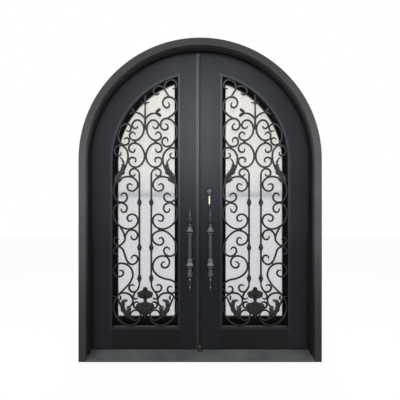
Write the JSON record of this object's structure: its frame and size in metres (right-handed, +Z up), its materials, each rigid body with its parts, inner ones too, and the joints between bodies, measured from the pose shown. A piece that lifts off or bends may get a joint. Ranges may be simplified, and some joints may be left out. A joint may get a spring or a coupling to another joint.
{
  "type": "arched double entry door",
  "caption": "Arched double entry door of welded steel with forged scrollwork grilles over glass, long turned pulls, a sloped sill and leaves that swing inward.",
  "frame": {"origin": "middle of the underside of the sill and jambs, at half the frame's depth", "axes": "+Z up, +X to the right seen from outside, -Y towards the outside, the side of the grilles"},
  "size_m": [1.829, 0.2154, 2.438],
  "materials": {
    "frame_steel": "satin charcoal paint on welded steel",
    "leaf_steel": "satin black paint on welded steel",
    "sash_steel": "satin black paint",
    "grille_iron": "black painted wrought and cast iron",
    "pull_iron": "black painted wrought iron",
    "glass": "obscure figured glass",
    "seal_rubber": "matt black",
    "threshold_metal": "worn satin grey",
    "lock_chrome": "satin chrome",
    "key_brass": "pale worn brass"
  },
  "bodies": {
    "frame": {"left_arch_head": "frame_steel", "left_frame_hinge_barrels": "frame_steel", "left_jamb": "frame_steel", "left_seal": "seal_rubber", "left_stop": "frame_steel", "right_arch_head": "frame_steel", "right_frame_hinge_barrels": "frame_steel", "right_jamb": "frame_steel", "right_seal": "seal_rubber", "right_stop": "frame_steel", "threshold": "threshold_metal"},
    "left_leaf": {"astragal": "leaf_steel", "left_arched_rail": "leaf_steel", "left_bottom_rail": "leaf_steel", "left_glass": "glass", "left_glazing_bead": "sash_steel", "left_grille": "grille_iron", "left_grille_castings": "grille_iron", "left_hinge_stile": "leaf_steel", "left_inside_pull": "pull_iron", "left_leaf_hinge_barrels": "leaf_steel", "left_lock_stile": "leaf_steel", "left_outside_pull": "pull_iron", "left_sash": "sash_steel", "left_sash_fittings": "sash_steel", "left_window_bead": "leaf_steel", "strike_plate": "lock_chrome"},
    "right_leaf": {"key": "key_brass", "lock_cylinder": "lock_chrome", "lock_faceplate": "lock_chrome", "lock_rose": "lock_chrome", "meeting_seal": "seal_rubber", "right_arched_rail": "leaf_steel", "right_bottom_rail": "leaf_steel", "right_glass": "glass", "right_glazing_bead": "sash_steel", "right_grille": "grille_iron", "right_grille_castings": "grille_iron", "right_hinge_stile": "leaf_steel", "right_inside_pull": "pull_iron", "right_leaf_hinge_barrels": "leaf_steel", "right_lock_stile": "leaf_steel", "right_outside_pull": "pull_iron", "right_sash": "sash_steel", "right_sash_fittings": "sash_steel", "right_window_bead": "leaf_steel", "thumbturn": "lock_chrome"}
  },
  "joints": [
    {"name": "left_leaf_hinge", "type": "hinge", "parent": "frame", "child": "left_leaf", "pos_m": [-0.858, 0.088, 0], "axis": [0, 0, 1], "range_deg": [0, 110]},
    {"name": "right_leaf_hinge", "type": "hinge", "parent": "frame", "child": "right_leaf", "pos_m": [0.858, 0.088, 0], "axis": [0, 0, -1], "range_deg": [0, 110]}
  ]
}
